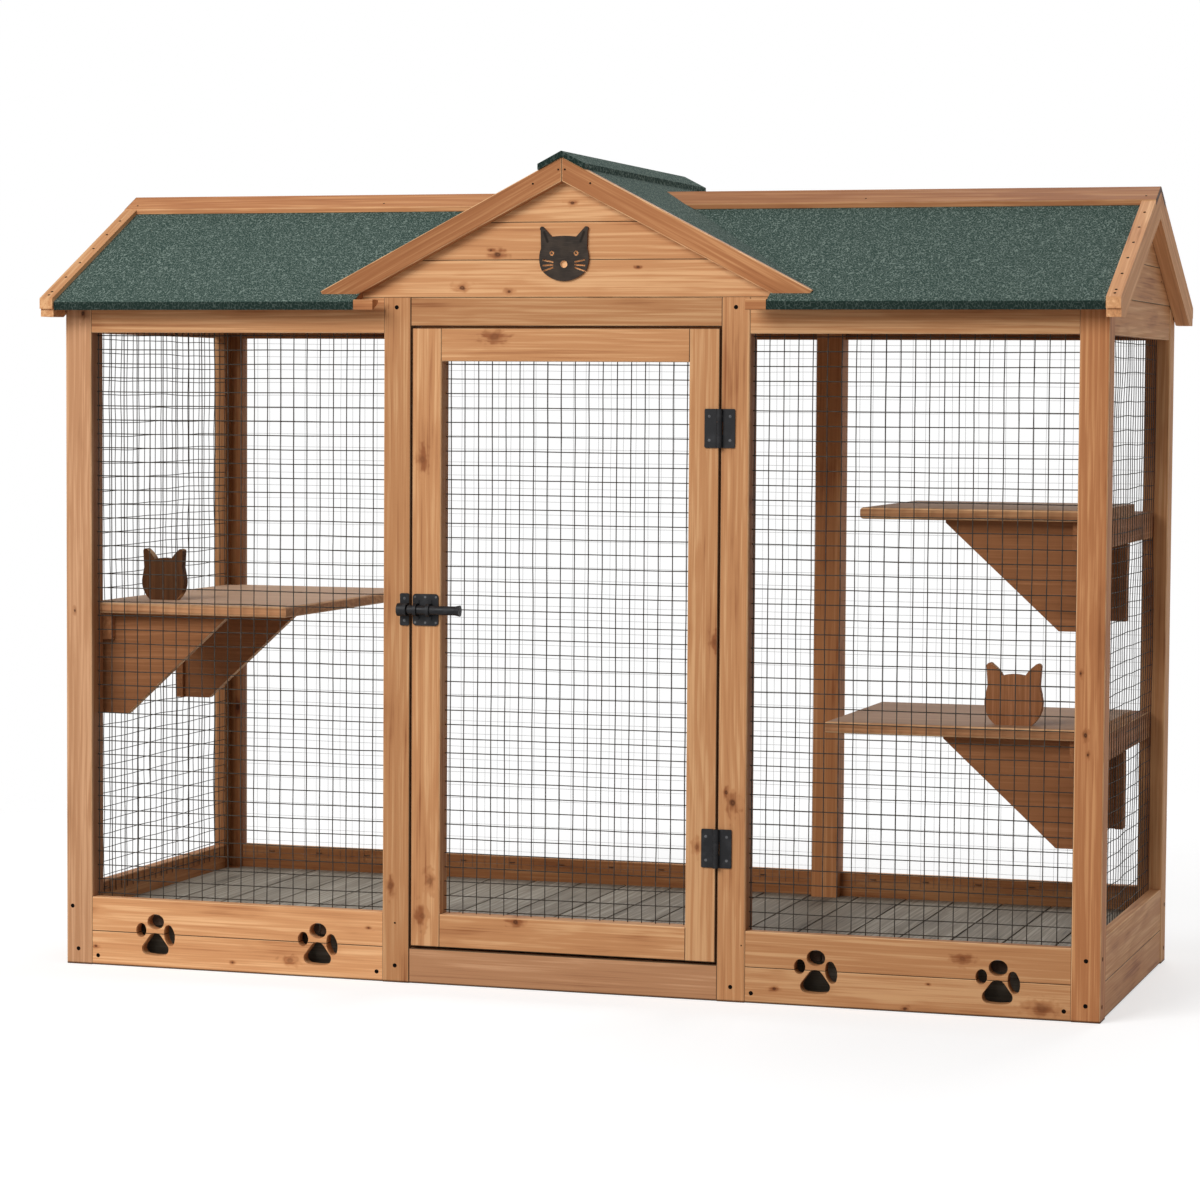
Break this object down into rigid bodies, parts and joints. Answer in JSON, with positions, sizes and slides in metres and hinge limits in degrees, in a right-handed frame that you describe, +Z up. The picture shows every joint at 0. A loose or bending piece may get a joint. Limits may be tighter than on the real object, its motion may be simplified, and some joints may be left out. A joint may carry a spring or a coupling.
{
  "type": "outdoor cat enclosure",
  "caption": "Stained timber cat run with wire mesh walls, felted roof with a cross gable, inner shelves, paw cut-outs and a hinged mesh door with a slide bolt.",
  "frame": {"origin": "centre of the footprint, on the ground", "axes": "+X along the width to the viewer's right, +Y to the back, +Z up; the door faces -Y"},
  "size_m": [1.95, 0.826, 1.4631],
  "materials": {
    "stained_wood": "satin stain",
    "inner_wood": "raw sawn",
    "grey_wood": "weathered",
    "roof_felt": "mineral granules",
    "wire": "galvanised",
    "black_iron": "satin black",
    "dark_plate": "matt"
  },
  "bodies": {
    "frame": {"cat_emblem": "dark_plate", "door_header": "stained_wood", "door_sill": "stained_wood", "eave_end_blocks": "stained_wood", "floor_boards": "grey_wood", "floor_joists": "grey_wood", "front_gable_boards": "stained_wood", "front_left_mesh": "wire", "front_left_plinth": "stained_wood", "front_left_post": "stained_wood", "front_left_top_rail": "stained_wood", "front_mid_left_post": "stained_wood", "front_mid_right_post": "stained_wood", "front_right_mesh": "wire", "front_right_plinth": "stained_wood", "front_right_post": "stained_wood", "front_right_top_rail": "stained_wood", "gable_barge_boards": "stained_wood", "gable_ridge_cap": "roof_felt", "gable_roof_decks": "inner_wood", "gable_roof_felt": "roof_felt", "latch_keeper": "black_iron", "left_cat_figure": "stained_wood", "left_gable_boards": "stained_wood", "left_roof_decks": "inner_wood", "left_roof_felt": "roof_felt", "left_shelf": "stained_wood", "left_side_mesh": "wire", "left_side_plinth": "stained_wood", "left_side_top_rail": "stained_wood", "left_verge_boards": "stained_wood", "main_ridge_boards": "stained_wood", "post_hinge_leaves": "black_iron", "rear_gable_boards": "stained_wood", "rear_left_mesh": "wire", "rear_left_post": "stained_wood", "rear_mid_post": "stained_wood", "rear_plinth": "stained_wood", "rear_right_mesh": "wire", "rear_right_post": "stained_wood", "rear_top_rails": "stained_wood", "right_cat_figure": "stained_wood", "right_gable_boards": "stained_wood", "right_lower_shelf": "stained_wood", "right_roof_decks": "inner_wood", "right_roof_felt": "roof_felt", "right_side_mesh": "wire", "right_side_plinth": "stained_wood", "right_side_top_rail": "stained_wood", "right_upper_shelf": "stained_wood", "right_verge_boards": "stained_wood", "shelf_brackets": "stained_wood", "shelf_cleats": "stained_wood"},
    "door": {"door_stiles": "stained_wood", "door_rails": "stained_wood", "door_mesh": "wire", "door_hinge_leaves": "black_iron", "latch_plate": "black_iron"},
    "bolt": {"latch_bolt": "black_iron"}
  },
  "joints": [
    {"name": "door_hinge", "type": "hinge", "parent": "frame", "child": "door", "pos_m": [0.2815, -0.366, 0.6265], "axis": [0, 0, 1], "range_deg": [0, 165]},
    {"name": "bolt_slide", "type": "slide", "parent": "door", "child": "bolt", "axis": [1, 0, 0], "range_m": [-0.016, 0.012]}
  ]
}
